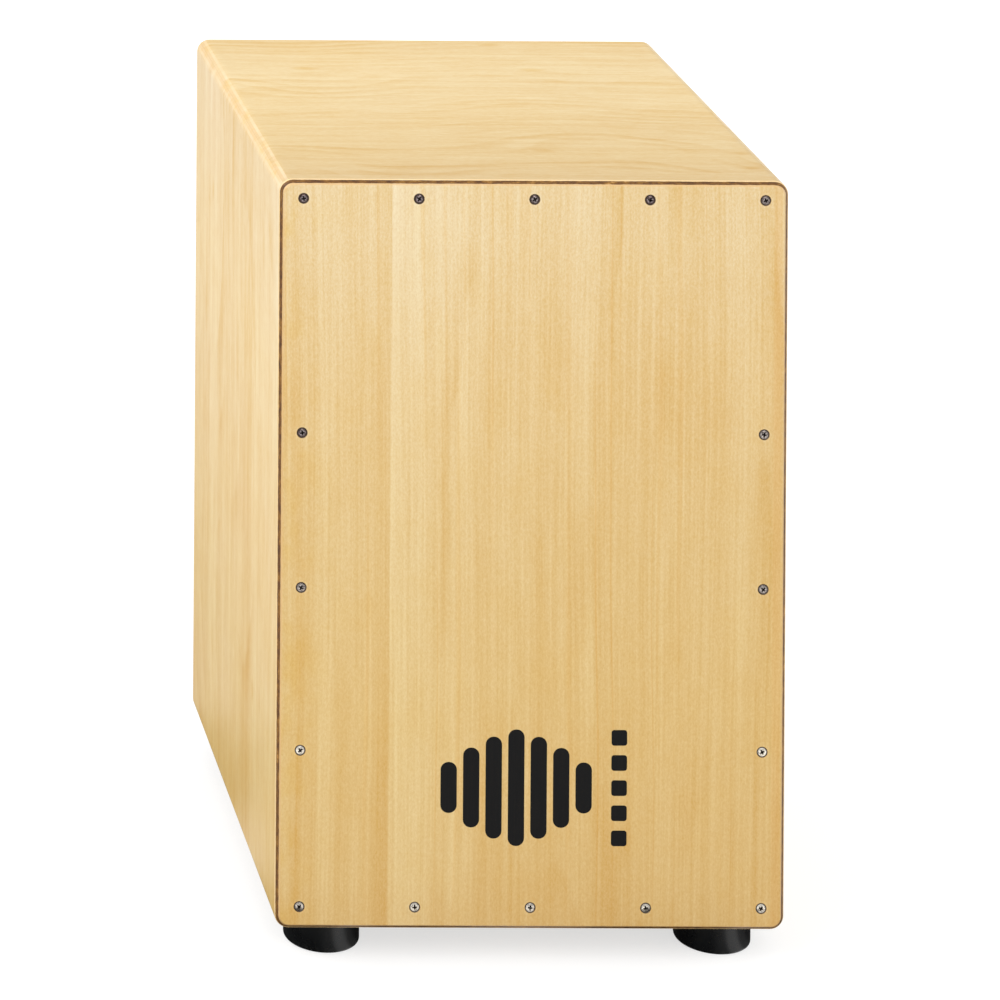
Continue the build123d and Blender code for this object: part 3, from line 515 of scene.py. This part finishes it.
def plate_screw_material():
    """Nickel heads, lacquered over and more or less tarnished, lighter towards the bottom of the plate, with painted
    shade in the rim and in the cross recess.
    """
    t = Tree("screw_nickel_front")
    p = lambda k: t.vec(t.m("MULTIPLY", t.x, k), t.m("MULTIPLY", t.y, k), t.m("MULTIPLY", t.z, k))
    each = t.noise(t.vec(t.m("MULTIPLY", t.x, 31.0), 0.0, t.m("MULTIPLY", t.z, 31.0)), 1.0, 0.0)
    bright = t.m("ADD", t.smooth(t.z, 0.45, 0.03, 0.08, 0.92), t.m("MULTIPLY", t.m("SUBTRACT", each, 0.5), 1.3), clamp=True)
    blot = t.noise(p(900.0), 1.0, 3.0, 0.65)
    colour = t.mix(bright, srgb(150, 138, 142), srgb(252, 245, 230))
    colour = t.mix(t.smooth(blot, 0.50, 0.62, 0.0, 0.75), colour, srgb(66, 52, 54))
    ds = screw_distance(t)
    # tarnish is thickest towards the rim, and the duller heads have most of it
    crust = t.m("MULTIPLY", t.smooth(t.m("ADD", ds, spread(t, blot, 1.6)), 1.15, 2.25), t.m("SUBTRACT", 1.0, bright))
    colour = t.mix(t.m("MULTIPLY", crust, 0.95), colour, srgb(58, 38, 28))
    # painted shade: the gap round each head and the inside of the cross recess are painted dark
    rim = t.smooth(ds, 2.30, 2.62)
    deep = t.smooth(t.y, FRONT_Y - 0.00005, FRONT_Y + 0.00045)
    dark = t.m("MAXIMUM", t.m("MULTIPLY", rim, 0.92), t.m("MULTIPLY", deep, t.smooth(ds, 2.2, 2.4, 1.0, 0.0)))
    colour = t.mix(dark, colour, srgb(38, 25, 18))
    t.set("Base Color", colour)
    t.set("Metallic", t.m("SUBTRACT", 1.0, t.m("MULTIPLY", dark, 0.7)))
    t.set("Roughness", t.m("ADD", t.lin(blot, 0.3, 0.7, 0.20, 0.36), t.m("MULTIPLY", dark, 0.2)))
    t.bump(blot, 0.35, 0.00012)
    return t.mat


def rubber_material():
    t = Tree("foot_rubber_moulded")
    p = lambda k: t.vec(t.m("MULTIPLY", t.x, k), t.m("MULTIPLY", t.y, k), t.m("MULTIPLY", t.z, k))
    cloud = t.noise(p(55.0), 1.0, 4.0, 0.6)
    pits = t.noise(p(2200.0), 1.0, 2.0, 0.6)
    colour = t.mix(cloud, srgb(6, 7, 8), srgb(12, 14, 16))
    # scuffed, dusty lower rim
    scuff = t.noise(p(420.0), 1.0, 3.0, 0.7)
    low = t.m("MULTIPLY", t.smooth(t.z, 0.0004, 0.0045, 1.0, 0.0), t.smooth(scuff, 0.45, 0.7))
    colour = t.mix(t.m("MULTIPLY", low, 0.22), colour, srgb(70, 67, 62))
    # faint moulding rings
    ringz = t.m("SINE", t.m("MULTIPLY", t.z, 9000.0))
    t.set("Base Color", colour)
    t.set("Roughness", t.m("ADD", t.lin(cloud, 0.3, 0.7, 0.24, 0.34), t.m("MULTIPLY", low, 0.25)))
    t.set("Specular IOR Level", 0.55)
    t.bump(t.m("ADD", pits, t.m("MULTIPLY", ringz, 0.12)), 0.22, 0.00012)
    return t.mat


def print_material():
    """Matt black screen-printing ink that lets a trace of the grain through."""
    t = Tree("printed_ink_black")
    fibres = t.noise(t.vec(t.m("MULTIPLY", t.x, 900.0), 0.0, t.m("MULTIPLY", t.z, 30.0)), 1.0, 3.0, 0.6)
    mesh_x = t.m("SINE", t.m("MULTIPLY", t.x, 26000.0))
    mesh_z = t.m("SINE", t.m("MULTIPLY", t.z, 26000.0))
    weave = t.m("MULTIPLY", mesh_x, mesh_z)
    colour = t.mix(t.smooth(fibres, 0.4, 0.75), srgb(7, 7, 8), srgb(17, 15, 14))
    t.set("Base Color", colour)
    t.set("Roughness", t.lin(fibres, 0.3, 0.7, 0.46, 0.60))
    t.set("Specular IOR Level", 0.16)
    t.bump(t.m("ADD", fibres, t.m("MULTIPLY", weave, 0.08)), 0.25, 0.00015)
    return t.mat


def assign(node, mat, smooth_bevel=None):
    o = nodes[node]
    if not o.material_slots:
        o.data.materials.append(mat)
    for s in o.material_slots:
        s.link = "OBJECT"
        s.material = mat
    return o


# mean colours of the faces, by height (walls, plate) or by depth (seat). On the walls and the plate the lightening
# towards the top is partly the veneer's own tone and partly painted light, the falloff from the overhead lamps; the
# seat and the underside are darker towards the front
SIDE_STOPS = [(0.02, (0.675, 0.460, 0.166)), (0.117, (0.689, 0.484, 0.183)), (0.23, (0.733, 0.517, 0.217)), (0.343, (0.779, 0.582, 0.289)),
              (0.461, (0.755, 0.573, 0.316))]
SEAT_STOPS = [(-0.15, (0.598, 0.424, 0.194)), (-0.10, (0.638, 0.458, 0.206)), (0.0, (0.703, 0.521, 0.249)), (0.06, (0.715, 0.530, 0.253)),
              (0.15, (0.713, 0.522, 0.244))]
PLATE_STOPS = [(0.02, (0.686, 0.448, 0.164)), (0.05, (0.698, 0.464, 0.171)), (0.15, (0.715, 0.486, 0.184)), (0.24, (0.727, 0.505, 0.208)),
               (0.34, (0.752, 0.534, 0.240)), (0.43, (0.780, 0.585, 0.303)), (0.461, (0.788, 0.597, 0.317))]
mat_top = body_material("seat_veneer", "x", "y", 11.0, "y", SEAT_STOPS, gloss=0.26, broad_k=1.0, mid_k=1.5, fine_k=1.4, speck_k=1.5, ring_k=0.85,
                        ring_scale=85.0, ring_warp=17.0, fleck_k=1.1, sway=0.006, arch_g=4.2, mottle_k=0.9)
mat_bottom = body_material("underside_veneer", "x", "y", 23.0, "y", SEAT_STOPS, broad_k=1.2, mid_k=1.5, fine_k=1.2, speck_k=1.2, ring_k=0.7,
                           ring_scale=70.0, ring_warp=14.0, fleck_k=0.5, sway=0.005, arch_g=4.0)
SIDE_LOOK = dict(gloss=0.09, broad_k=2.4, mid_k=2.0, fine_k=1.5, speck_k=1.3, ring_k=0.75, ring_warp=10.5, fleck_k=1.2, sway=0.0045, arch_g=2.7,
                 mottle_k=1.2, mid_a=88.0)
mat_left = body_material("left_side_veneer", "z", "y", 31.0, "z", SIDE_STOPS, ring_scale=40.0, **SIDE_LOOK)
mat_right = body_material("right_side_veneer", "z", "y", 57.0, "z", SIDE_STOPS, ring_scale=46.0, **SIDE_LOOK)
assign("top_panel", mat_top)
assign("bottom_panel", mat_bottom)
assign("left_side_panel", mat_left)
assign("right_side_panel", mat_right)
assign("front_plate", plate_material(PLATE_STOPS))
assign("rear_panel", rear_material())
mat_bx = batten_material("batten_pine_x", "x", "z", "y", 1)
mat_bz = batten_material("batten_pine_z", "z", "x", "y", 4)
for n in ("front_batten_top", "front_batten_bottom", "rear_batten_top", "rear_batten_bottom"):
    assign(n, mat_bx)
for n in ("front_batten_left", "front_batten_right", "rear_batten_left", "rear_batten_right"):
    assign(n, mat_bz)

assign("front_plate_screws", plate_screw_material())
foot_cup_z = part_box("foot_washers")[0].z
# the foot screws get painted shade towards the washer and the hole they sink into
assign("foot_screws", metal("screw_nickel_feet", srgb(176, 172, 168), 0.24, 0.4,
                            sunk_shade=("z", foot_cup_z - 0.0020, foot_cup_z - 0.0008)))
assign("foot_washers", metal("washer_zinc", srgb(190, 190, 186), 0.28, 0.44, scratch_axis="x"))
rubber = rubber_material()
for n in ("foot_front_left", "foot_front_right", "foot_rear_left", "foot_rear_right"):
    assign(n, rubber)
zinc = metal("sheet_zinc_plated", srgb(184, 186, 190), 0.26, 0.42, scratch_axis="x", tint=srgb(150, 156, 168))
for n in ("string_anchor_bar", "string_guide_left", "string_guide_right"):
    assign(n, zinc)
for n in ("tension_washer_left", "tension_washer_right"):
    assign(n, metal("washer_" + n, srgb(178, 178, 176), 0.3, 0.45, scratch_axis="y"))
assign("string_anchor_screws", metal("screw_anchor", srgb(168, 166, 164), 0.24, 0.4))
assign("string_guide_screws", metal("screw_guide", srgb(168, 166, 164), 0.24, 0.4))
milled = metal("carrier_milled_aluminium", srgb(206, 208, 212), 0.28, 0.4, scratch_axis="z")
for n in ("string_carrier_left", "string_carrier_right"):
    assign(n, milled)
black_oxide = metal("bolt_black_oxide", srgb(62, 62, 66), 0.3, 0.48, tint=srgb(44, 46, 54))
for n in ("tension_bolt_left", "tension_bolt_right"):
    assign(n, black_oxide)

# ---------------------------------------------------------------------------
# snare strings: wound steel, with twisted ends and barrel ball ends.
# ---------------------------------------------------------------------------
string_mat = metal("string_wound_steel", srgb(196, 192, 184), 0.2, 0.34, speck=2400.0)


def tube(bm, centres, radii, sides):
    """A closed tube through centres with the given radii."""
    rings = []
    for k, (c, r) in enumerate(zip(centres, radii)):
        a = centres[max(k - 1, 0)]
        b = centres[min(k + 1, len(centres) - 1)]
        d = (b - a).normalized()
        u = d.cross(Vector((0, 1, 0))).normalized()
        v = d.cross(u)
        rings.append([bm.verts.new(c + u * r * math.cos(2 * math.pi * i / sides) + v * r * math.sin(2 * math.pi * i / sides)) for i in range(sides)])
    for p, q in zip(rings, rings[1:]):
        for i in range(sides):
            j = (i + 1) % sides
            bm.faces.new((p[i], p[j], q[j], q[i]))
    bm.faces.new(list(reversed(rings[0])))
    bm.faces.new(rings[-1])


def barrel(bm, centre, radius, width, sides=20):
    """Ball end: a small barrel across the string, with a waist for the wire."""
    prof = [(-0.5, 0.80), (-0.44, 0.96), (-0.34, 1.0), (-0.2, 0.96), (-0.12, 0.80), (0.12, 0.80), (0.2, 0.96), (0.34, 1.0), (0.44, 0.96), (0.5, 0.80)]
    rings = []
    for px, pr in prof:
        rings.append([bm.verts.new(centre + Vector((px * width, radius * pr * math.cos(2 * math.pi * i / sides), radius * pr * math.sin(2 * math.pi * i / sides)))) for i in range(sides)])
    for p, q in zip(rings, rings[1:]):
        for i in range(sides):
            j = (i + 1) % sides
            bm.faces.new((p[i], p[j], q[j], q[i]))
    # end faces with a shallow hole
    for ring, sgn in ((rings[0], -1), (rings[-1], 1)):
        inner = [bm.verts.new(centre + Vector((sgn * 0.5 * width, radius * 0.38 * math.cos(2 * math.pi * i / sides), radius * 0.38 * math.sin(2 * math.pi * i / sides)))) for i in range(sides)]
        floor = [bm.verts.new(v.co - Vector((sgn * 0.16 * width, 0, 0))) for v in inner]
        for i in range(sides):
            j = (i + 1) % sides
            for lo, hi in ((ring, inner), (inner, floor)):
                f = (lo[j], lo[i], hi[i], hi[j]) if sgn < 0 else (lo[i], lo[j], hi[j], hi[i])
                bm.faces.new(f)
        bm.faces.new(list(reversed(floor)) if sgn < 0 else floor)


for side in ("left", "right"):
    lo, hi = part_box(f"snare_strings_{side}")
    car_lo, car_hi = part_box(f"string_carrier_{side}")
    mid_x = (lo.x + hi.x) / 2
    ball_r, ball_w = 0.0012, 0.0030
    y = (lo.y + hi.y) / 2
    z_low, z_top = lo.z + ball_r, hi.z - ball_r
    fan_low, fan_top = 0.005, (hi.x - lo.x - ball_w) / 2
    bm = bmesh.new()
    for i in (-1, 0, 1):
        a = Vector((mid_x + i * fan_low, y, z_low))
        b = Vector((mid_x + i * fan_top, y, z_top))
        length = (b - a).length
        d = (b - a).normalized()
        centres, radii = [], []
        s = 0.0005
        while s < length - 0.0005:
            from_end = min(s, length - s)
            base = 0.00034
            if from_end < 0.016:
                # the wire wraps back on itself near each ball end
                base = 0.00044
            centres += [a + d * s, a + d * (s + 0.00042)]
            radii += [base, base + 0.00005]
            s += 0.00084
        tube(bm, centres, radii, 8)
        barrel(bm, a, ball_r, ball_w)
        barrel(bm, b, ball_r, ball_w)
    bmesh.ops.recalc_face_normals(bm, faces=bm.faces)
    me = bpy.data.meshes.new(f"wound_strings_{side}")
    bm.to_mesh(me)
    bm.free()
    for p in me.polygons:
        p.use_smooth = True
    o = bpy.data.objects.new(f"wound_strings_{side}", me)
    scene.collection.objects.link(o)
    me.materials.append(string_mat)
    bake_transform(o)
    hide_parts(f"snare_strings_{side}")

# ---------------------------------------------------------------------------
# a plain printed ornament low on the striking plate: seven upright bars and a
# column of small squares, in black ink
# ---------------------------------------------------------------------------
def rounded_outline(cx, cz, w, h, r, seg=6):
    pts = []
    for sx, sz, start in ((1, 1, 0), (-1, 1, 90), (-1, -1, 180), (1, -1, 270)):
        for k in range(seg + 1):
            a = math.radians(start + 90 * k / seg)
            pts.append((cx + sx * (w / 2 - r) + r * math.cos(a), cz + sz * (h / 2 - r) + r * math.sin(a)))
    return pts


def ink_shape(bm, outline):
    """A film of ink 0.07 mm thick with a softened rim."""
    y0, y1, y2 = FRONT_Y + 0.00002, FRONT_Y - 0.00005, FRONT_Y - 0.00007
    cx = sum(p[0] for p in outline) / len(outline)
    cz = sum(p[1] for p in outline) / len(outline)
    base = [bm.verts.new((x, y0, z)) for x, z in outline]
    side = [bm.verts.new((x, y1, z)) for x, z in outline]
    inner = []
    for x, z in outline:
        v = Vector((cx - x, cz - z))
        v = v.normalized() * 0.00012
        inner.append(bm.verts.new((x + v.x, y2, z + v.y)))
    n = len(outline)
    for lo_, hi_ in ((base, side), (side, inner)):
        for i in range(n):
            j = (i + 1) % n
            bm.faces.new((lo_[i], lo_[j], hi_[j], hi_[i]))
    bm.faces.new(inner)
    bm.faces.new(list(reversed(base)))


bm = bmesh.new()
mark_cx, mark_cz = -0.0087, 0.1040
heights = (0.030, 0.047, 0.060, 0.0686, 0.060, 0.047, 0.030)
for k, h in enumerate(heights):
    ink_shape(bm, rounded_outline(mark_cx + (k - 3) * 0.01325, mark_cz, 0.0096, h, 0.0046))
for k in range(5):
    ink_shape(bm, rounded_outline(0.0519, mark_cz + (k - 2) * 0.0148, 0.0092, 0.0092, 0.0016, 4))
bmesh.ops.recalc_face_normals(bm, faces=bm.faces)
me = bpy.data.meshes.new("printed_ornament")
bm.to_mesh(me)
bm.free()
ornament = bpy.data.objects.new("printed_ornament", me)
scene.collection.objects.link(ornament)
me.materials.append(print_material())
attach(ornament, "root")

# ---------------------------------------------------------------------------
# floor, light, camera
# ---------------------------------------------------------------------------
bm = bmesh.new()
bmesh.ops.create_grid(bm, x_segments=2, y_segments=2, size=14.0)
me = bpy.data.meshes.new("studio_floor")
bm.to_mesh(me)
bm.free()
floor = bpy.data.objects.new("studio_floor", me)
scene.collection.objects.link(floor)
t = Tree("floor_paper")
paper = t.noise(t.vec(t.m("MULTIPLY", t.x, 60.0), t.m("MULTIPLY", t.y, 60.0), 0.0), 1.0, 3.0, 0.6)
path = t.t.nodes.new("ShaderNodeLightPath")
# painted reflection for the rubber feet: next to a foot the floor, as glossy rays see it, is painted in shade, but for
# a painted lit patch towards the front right
fx = t.m("SUBTRACT", t.x, t.m("MULTIPLY", t.m("SIGN", t.x), FOOT_X))
fy = t.m("SUBTRACT", t.y, t.m("MULTIPLY", t.m("SIGN", t.y), FOOT_Y))
gap = t.m("SQRT", t.m("ADD", t.m("MULTIPLY", fx, fx), t.m("MULTIPLY", fy, fy)))
aim = t.m("DIVIDE", t.m("ADD", t.m("MULTIPLY", fx, 0.53), t.m("MULTIPLY", fy, -0.85)), gap)
patch = t.smooth(aim, 0.93, 0.995, 0.05, 1.0)
rightward = t.smooth(aim, 0.60, 0.95, 0.0, 0.25)
shade = t.m("MAXIMUM", t.m("MAXIMUM", patch, rightward), t.smooth(gap, 0.055, 0.12))
seen = t.m("MAXIMUM", path.outputs["Is Camera Ray"], t.m("MULTIPLY", path.outputs["Is Glossy Ray"], t.m("MULTIPLY", shade, 0.8)))
# pale paper: what the eye sees is bright with a light shadow, what it throws back at the box is moderate
sheet = t.mix(seen, (0.50, 0.50, 0.50, 1), t.mix(paper, (0.385, 0.385, 0.385, 1), (0.395, 0.395, 0.395, 1)))
keep = t.m("SUBTRACT", 1.0, t.m("MULTIPLY", path.outputs["Is Glossy Ray"], t.m("SUBTRACT", 1.0, shade)))
t.set("Base Color", vmul(t, sheet, t.vec(keep, keep, keep)))
t.set("Emission Color", (1.0, 1.0, 1.0, 1.0))
# far off the paper glows brighter, fading into the white backdrop
away = t.m("SQRT", t.m("ADD", t.m("MULTIPLY", t.x, t.x), t.m("MULTIPLY", t.y, t.y)))
t.set("Emission Strength", t.m("MULTIPLY", seen, t.smooth(away, 0.8, 3.5, 0.66, 0.90)))
t.set("Roughness", 0.9)
t.set("Specular IOR Level", 0.0)
back = t.t.nodes.new("ShaderNodeNewGeometry").outputs["Backfacing"]
clear = t.t.nodes.new("ShaderNodeBsdfTransparent")
pick = t.t.nodes.new("ShaderNodeMixShader")
t.t.links.new(back, pick.inputs[0])
t.t.links.new(t.bsdf.outputs[0], pick.inputs[1])
t.t.links.new(clear.outputs[0], pick.inputs[2])
t.t.links.new(pick.outputs[0], t.out.inputs[0])
floor.location.z = -0.0001
floor.data.materials.append(t.mat)
floor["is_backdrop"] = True

world = bpy.data.worlds.new("studio")
scene.world = world
world.use_nodes = True
wt = world.node_tree
bg = wt.nodes["Background"]
bg.inputs[0].default_value = (1.0, 1.0, 1.0, 1.0)
wc = wt.nodes.new("ShaderNodeTexCoord")
ws = wt.nodes.new("ShaderNodeSeparateXYZ")
wt.links.new(wc.outputs["Generated"], ws.inputs[0])
wm = wt.nodes.new("ShaderNodeMapRange")
wm.inputs["From Min"].default_value = -0.05
wm.inputs["From Max"].default_value = 0.75
wm.inputs["To Min"].default_value = 0.42
wm.inputs["To Max"].default_value = 0.92
wt.links.new(ws.outputs[2], wm.inputs["Value"])
wl = wt.nodes.new("ShaderNodeLightPath")
wx = wt.nodes.new("ShaderNodeMix")
wt.links.new(wl.outputs["Is Camera Ray"], wx.inputs[0])
wt.links.new(wm.outputs[0], wx.inputs[2])
wx.inputs[3].default_value = 1.0
wt.links.new(wx.outputs[0], bg.inputs[1])


def area(name, loc, target, size, power, colour=(1, 1, 1), spread=180):
    data = bpy.data.lights.new(name, "AREA")
    data.shape = "RECTANGLE"
    data.size, data.size_y = size
    data.energy = power
    data.color = colour
    data.spread = math.radians(spread)
    o = bpy.data.objects.new(name, data)
    scene.collection.objects.link(o)
    o.location = loc
    o.rotation_euler = (Vector(target) - Vector(loc)).to_track_quat("-Z", "Y").to_euler()
    return o


area("key_top_left", (-1.7, -1.3, 2.1), (0, 0, 0.34), (1.3, 1.3), 26)
area("fill_front", (0.4, -2.4, 1.9), (0, 0, 0.42), (1.8, 1.2), 23.8)
area("left_wall", (-2.4, 0.4, 1.5), (-0.15, 0, 0.42), (1.2, 1.2), 20)
area("right_wall", (2.4, 0.5, 0.8), (0.15, 0, 0.30), (1.4, 1.2), 13)
# kept out of reflections, or it would glare on the seat
area("back_fill", (0.5, 2.5, 0.8), (0, 0.15, 0.30), (1.8, 1.2), 10).visible_glossy = False

cam_data = bpy.data.cameras.new("camera")
cam = bpy.data.objects.new("camera", cam_data)
scene.collection.objects.link(cam)
cam_data.sensor_fit = "HORIZONTAL"
cam_data.sensor_width = 36.0
cam_data.lens = 154.816
right = Vector((0.99997365, -0.00405457, 0.00602104))
forward = Vector((0.00406961, 0.99998863, -0.00248727))
up = Vector((-0.00601089, 0.00251171, 0.99997878))
loc = Vector((-0.61556909, -2.67417376, 1.24039412))
m = Matrix.Identity(4)
for i in range(3):
    m[i][0], m[i][1], m[i][2], m[i][3] = right[i], up[i], -forward[i], loc[i]
cam.matrix_world = m
cam_data.clip_start, cam_data.clip_end = 0.05, 60.0
scene.camera = cam

# The camera sees the box the way a shifted lens does.  The shift belongs to
# this one camera place, so it falls to nothing when the camera is moved away.
for prop, value in (("shift_x", 0.986581), ("shift_y", -1.639743)):
    drv = cam_data.driver_add(prop).driver
    drv.type = "SCRIPTED"
    var = drv.variables.new()
    var.name = "cx"
    var.type = "TRANSFORMS"
    var.targets[0].id = cam
    var.targets[0].transform_type = "LOC_X"
    var.targets[0].transform_space = "WORLD_SPACE"
    drv.expression = f"{value} if (cx < {loc.x + 0.0005:.6f} and cx > {loc.x - 0.0005:.6f}) else 0.0"

scene.view_settings.view_transform = "Standard"
scene.view_settings.look = "None"
scene.view_settings.exposure = 0.0
scene.view_settings.gamma = 1.0

bpy.context.view_layer.update()
lo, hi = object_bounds()
